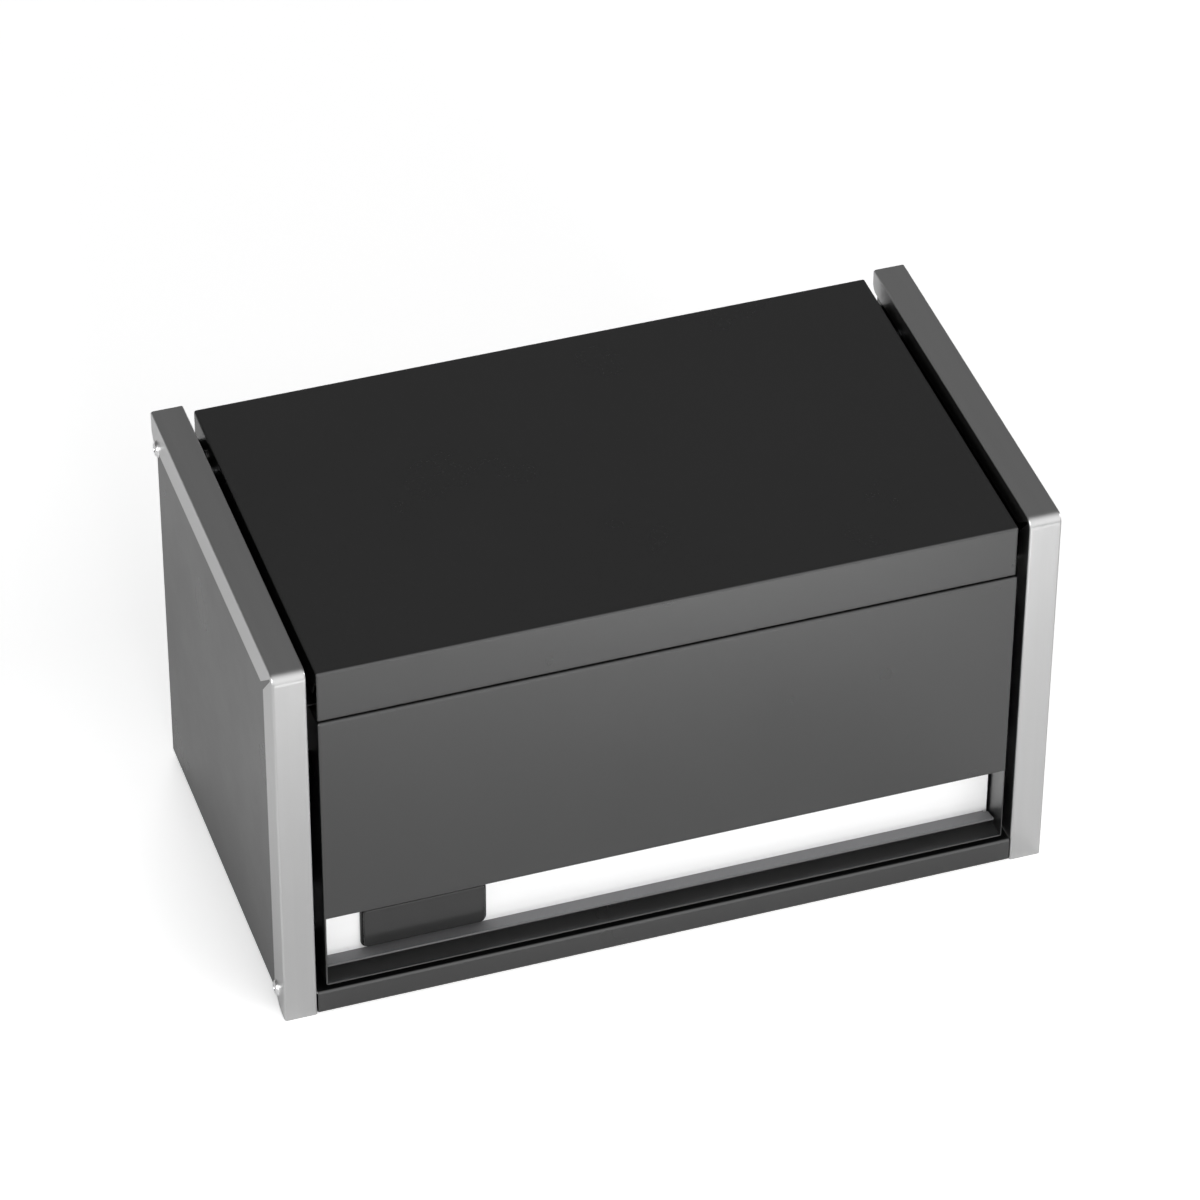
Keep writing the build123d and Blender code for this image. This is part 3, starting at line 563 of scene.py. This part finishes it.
def rivetHead(tree, sizes, shape):
    disc = addNode(
        tree, "GeometryNodeMeshCylinder",
        {
            "Vertices": shape["sides"], "Fill Segments": shape["rings"],
            "Radius": sizes["Head"], "Depth": shape["disc"],
        },
        fill_type="TRIANGLE_FAN",
    )
    place = addNode(tree, "GeometryNodeInputPosition").outputs[0]
    parts = addNode(tree, "ShaderNodeSeparateXYZ", {"Vector": place}).outputs
    flat = addNode(tree, "ShaderNodeCombineXYZ", {"X": parts["X"], "Y": parts["Y"]}).outputs[0]
    radius = addNode(tree, "ShaderNodeVectorMath", {0: flat}, operation="LENGTH").outputs["Value"]
    share = mathNode(tree, "DIVIDE", radius, sizes["Head"])
    curve = addNode(tree, "ShaderNodeFloatCurve", {"Value": share})
    points = curve.mapping.curves[0].points
    spots = sorted(shape["profile"].items())
    points[0].location, points[1].location = spots[0], spots[-1]
    for spot in spots[1:-1]:
        points.new(*spot)
    curve.mapping.update()
    height = mathNode(tree, "MULTIPLY", curve.outputs[0], sizes["Dome"])
    upper = mathNode(tree, "GREATER_THAN", parts["Z"], 0.0)
    height = mathNode(tree, "MULTIPLY", height, upper)
    formed = addNode(tree, "ShaderNodeCombineXYZ", {"X": parts["X"], "Y": parts["Y"], "Z": height}).outputs[0]
    head = addNode(tree, "GeometryNodeSetPosition", {"Geometry": disc.outputs["Mesh"], "Position": formed})
    head = addNode(
        tree, "GeometryNodeSetShadeSmooth", {"Geometry": head.outputs[0], "Selection": disc.outputs["Top"]}
    )
    return head.outputs[0]


def rivetStem(tree, wide, deep, middle, sides):
    stem = addNode(tree, "GeometryNodeMeshCylinder", {"Vertices": sides, "Radius": wide, "Depth": deep})
    shift = addNode(tree, "ShaderNodeCombineXYZ", {"Z": middle})
    moved = addNode(
        tree, "GeometryNodeTransform", {"Geometry": stem.outputs["Mesh"], "Translation": shift.outputs[0]}
    )
    return moved.outputs[0]


def makeRivetTree(shape):
    sizeNames = ("Head", "Dome", "Shank", "Grip", "Tail", "Tail Depth")
    tree, source, result = newTree("blindRivet", dict.fromkeys(sizeNames, "NodeSocketFloat"))
    sizes = source.outputs
    grip, tailDepth = sizes["Grip"], sizes["Tail Depth"]
    shankMiddle = mathNode(tree, "MULTIPLY", grip, -0.5)
    tailMiddle = mathNode(tree, "MULTIPLY_ADD", tailDepth, -0.5, mathNode(tree, "MULTIPLY", grip, -1.0))
    whole = addNode(tree, "GeometryNodeJoinGeometry")
    for part in (
        rivetHead(tree, sizes, shape),
        rivetStem(tree, sizes["Shank"], grip, shankMiddle, shape["sides"]),
        rivetStem(tree, sizes["Tail"], tailDepth, tailMiddle, shape["sides"]),
    ):
        tree.links.new(part, whole.inputs[0])
    heading = addNode(tree, "GeometryNodeInputNamedAttribute", {"Name": "heading"}, data_type="FLOAT_VECTOR")
    turned = addNode(
        tree, "FunctionNodeAlignRotationToVector", {"Vector": heading.outputs["Attribute"]}, axis="Z"
    )
    copies = addNode(
        tree, "GeometryNodeInstanceOnPoints",
        {"Points": source.outputs["Geometry"], "Instance": whole.outputs[0], "Rotation": turned.outputs[0]},
    )
    finishTree(tree, result, copies.outputs[0], sizes["Finish"])
    return tree


# Finds the foot of every rivet head in a node, and how long the shanks between head and tail are
def rivetPlaces(name, heading, values):
    clusters = []
    for vertex in nodes[name].data.vertices:
        flat = vertex.co - heading * vertex.co.dot(heading)
        for cluster in clusters:
            if (cluster[0][0] - flat).length < 2 * values["Head"]:
                cluster.append((flat, vertex.co.dot(heading)))
                break
        else:
            clusters.append([(flat, vertex.co.dot(heading))])
    places = []
    for cluster in clusters:
        low = Vector([min(flat[axis] for flat, rise in cluster) for axis in range(3)])
        high = Vector([max(flat[axis] for flat, rise in cluster) for axis in range(3)])
        top = max(rise for flat, rise in cluster)
        places.append((low + high) / 2 + heading * (top - values["Dome"]))
    rises = [rise for flat, rise in clusters[0]]
    return places, max(rises) - min(rises) - values["Dome"] - values["Tail Depth"]


rivetTree = makeRivetTree(rivetShape)


def makeRivets(name, body, headings, values):
    places, turns = [], []
    for node, heading in headings.items():
        found, grip = rivetPlaces(node, Vector(heading), values)
        places += found
        turns += [heading] * len(found)
    points = bpy.data.meshes.new(name)
    points.from_pydata(places, [], [])
    facing = points.attributes.new("heading", "FLOAT_VECTOR", "POINT")
    for entry, heading in zip(facing.data, turns):
        entry.vector = heading
    growMesh(name, points, rivetTree, dict(values, Grip=grip), body, "rivet_metal", list(headings))


toRight, toLeft, toRear = (1, 0, 0), (-1, 0, 0), (0, 1, 0)
makeRivets(
    "trimRivets", "cabinet", {"trim_rivets_left": toLeft, "trim_rivets_right": toRight}, trimRivetValues
)
makeRivets("backRivets", "cabinet", {"back_rivets": toRear}, backRivetValues)
makeRivets("hingeRivets", "cabinet", {"hinge_rivets": toRear}, backRivetValues)
makeRivets(
    "slideRivets", "cabinet", {"slide_rivets_left": toRight, "slide_rivets_right": toLeft}, smallRivetValues
)
makeRivets(
    "drawerRivets", "drawer", {"drawer_rivets_left": toRight, "drawer_rivets_right": toLeft}, smallRivetValues
)
makeRivets("pullRivets", "drawer", {"pull_rivets": toRear}, smallRivetValues)
print("rivets set")

# Ribbed rubber mats in the till and the drawer
matValues = {
    "Base": 0.9 * mm, "Pitch": 2.8 * mm, "Rib": 1.5 * mm, "Border": 2.0 * mm,
    "Crown": 0.55,  # width of a rib's top as a share of its foot
}


def makeMatTree():
    sizeNames = ("Base", "Pitch", "Rib", "Crown", "Border")
    vectors = {"Size": "NodeSocketVector", "Low": "NodeSocketVector"}
    tree, source, result = newTree("ribbedMat", {**vectors, **dict.fromkeys(sizeNames, "NodeSocketFloat")})
    sizes = source.outputs
    size = addNode(tree, "ShaderNodeSeparateXYZ", {"Vector": sizes["Size"]}).outputs
    slab = addNode(tree, "ShaderNodeCombineXYZ", {"X": size["X"], "Y": size["Y"], "Z": sizes["Base"]})
    slabSize = slab.outputs[0]
    base = addNode(tree, "GeometryNodeMeshCube", {"Size": slabSize})
    half = addNode(tree, "ShaderNodeVectorMath", {0: slabSize, 1: (0.5, 0.5, 0.5)}, operation="MULTIPLY")
    base = addNode(
        tree, "GeometryNodeTransform", {"Geometry": base.outputs["Mesh"], "Translation": half.outputs[0]}
    )
    ribHeight = mathNode(tree, "SUBTRACT", size["Z"], sizes["Base"])
    border = mathNode(tree, "MULTIPLY", sizes["Border"], 2.0)
    ribSize = addNode(
        tree, "ShaderNodeCombineXYZ",
        {"X": sizes["Rib"], "Y": mathNode(tree, "SUBTRACT", size["Y"], border), "Z": ribHeight},
    )
    bar = addNode(tree, "GeometryNodeMeshCube", {"Size": ribSize.outputs[0]})
    place = addNode(tree, "GeometryNodeInputPosition").outputs[0]
    parts = addNode(tree, "ShaderNodeSeparateXYZ", {"Vector": place}).outputs
    upper = mathNode(tree, "GREATER_THAN", parts["Z"], 0.0)
    narrow = mathNode(tree, "MULTIPLY_ADD", upper, mathNode(tree, "SUBTRACT", sizes["Crown"], 1.0), 1.0)
    taper = addNode(
        tree, "ShaderNodeCombineXYZ",
        {"X": mathNode(tree, "MULTIPLY", parts["X"], narrow), "Y": parts["Y"], "Z": parts["Z"]},
    )
    bar = addNode(
        tree, "GeometryNodeSetPosition", {"Geometry": bar.outputs["Mesh"], "Position": taper.outputs[0]}
    )
    room = mathNode(tree, "SUBTRACT", mathNode(tree, "SUBTRACT", size["X"], border), sizes["Rib"])
    gaps = mathNode(tree, "FLOOR", mathNode(tree, "DIVIDE", room, sizes["Pitch"]))
    count = mathNode(tree, "ADD", gaps, 1.0)
    first = mathNode(
        tree, "MULTIPLY_ADD", mathNode(tree, "MULTIPLY", gaps, sizes["Pitch"]), -0.5,
        mathNode(tree, "MULTIPLY", size["X"], 0.5),
    )
    start = addNode(
        tree, "ShaderNodeCombineXYZ",
        {
            "X": first, "Y": mathNode(tree, "MULTIPLY", size["Y"], 0.5),
            "Z": mathNode(tree, "MULTIPLY_ADD", ribHeight, 0.5, sizes["Base"]),
        },
    )
    step = addNode(tree, "ShaderNodeCombineXYZ", {"X": sizes["Pitch"]})
    row = addNode(
        tree, "GeometryNodeMeshLine",
        {"Count": count, "Start Location": start.outputs[0], "Offset": step.outputs[0]}, mode="OFFSET",
    )
    bars = addNode(
        tree, "GeometryNodeInstanceOnPoints", {"Points": row.outputs[0], "Instance": bar.outputs[0]}
    )
    whole = addNode(tree, "GeometryNodeJoinGeometry")
    tree.links.new(base.outputs[0], whole.inputs[0])
    tree.links.new(bars.outputs[0], whole.inputs[0])
    laid = addNode(
        tree, "GeometryNodeTransform", {"Geometry": whole.outputs[0], "Translation": sizes["Low"]}
    )
    finishTree(tree, result, laid.outputs[0], sizes["Finish"])
    return tree


matTree = makeMatTree()


def makeMat(name, node, body):
    low, high = (Vector(corner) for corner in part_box(node))
    sizes = dict(matValues, Size=tuple(high - low), Low=tuple(low))
    growMesh(name, bpy.data.meshes.new(name), matTree, sizes, body, "liner_rubber", [node])


makeMat("tillMat", "till_liner", "cabinet")
makeMat("drawerMat", "drawer_liner", "drawer")
print("mats laid")

# Blank badge: a bevelled base, a groove and a slightly domed plain face
badgeSizes = {
    "corner": 3.2 * mm,
    "leastCorner": 0.3,  # of the corner, which shrinks with the inset
    "arc": 8,  # steps in each corner
    "sharpAngle": 40,  # degrees
    "rings": (  # in mm, inset from the outline and height over the wall
        (0.0, 0.0), (0.0, 0.9), (0.12, 1.15), (0.4, 1.3), (0.62, 1.25), (0.7, 0.8), (1.0, 0.8), (1.06, 1.4),
        (1.1, 2.35), (1.22, 2.6), (1.5, 2.78), (2.1, 2.86), (4.5, 2.95), (8.0, 3.0),
    ),
}


def badgeOutline(values, low, high, inset):
    corner = max(values["corner"] - inset, values["leastCorner"] * values["corner"])
    ring = []
    for turn, x, z in (
        (0, high.x - inset, high.z - inset), (1, low.x + inset, high.z - inset),
        (2, low.x + inset, low.z + inset), (3, high.x - inset, low.z + inset),
    ):
        across = 1 if turn in (0, 3) else -1
        upward = 1 if turn in (0, 1) else -1
        for step in range(values["arc"] + 1):
            angle = math.radians(90 * (turn + step / values["arc"]))
            ring.append((
                x - across * corner + corner * math.cos(angle), z - upward * corner + corner * math.sin(angle)
            ))
    return ring


def makeBadge(values):
    low, high = (Vector(corner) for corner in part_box("badge"))
    built = bmesh.new()
    rings = []
    for inset, rise in values["rings"]:
        outline = badgeOutline(values, low, high, inset * mm)
        rings.append([built.verts.new((x, high.y - rise * mm, z)) for x, z in outline])
    for near, far in zip(rings, rings[1:]):
        for index in range(len(near)):
            after = (index + 1) % len(near)
            built.faces.new((near[index], near[after], far[after], far[index]))
    built.faces.new(rings[-1])
    built.faces.new(reversed(rings[0]))
    bmesh.ops.recalc_face_normals(built, faces=built.faces)
    for face in built.faces:
        face.smooth = len(face.verts) == 4
    mesh = bpy.data.meshes.new("badgePlate")
    built.to_mesh(mesh)
    built.free()
    mesh.set_sharp_from_angle(angle=math.radians(values["sharpAngle"]))
    mesh.materials.append(finishes["badge_black"])
    plate = bpy.data.objects.new("badgePlate", mesh)
    bpy.context.scene.collection.objects.link(plate)
    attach(plate, "drawer")
    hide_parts("badge")


makeBadge(badgeSizes)
print("badge made")
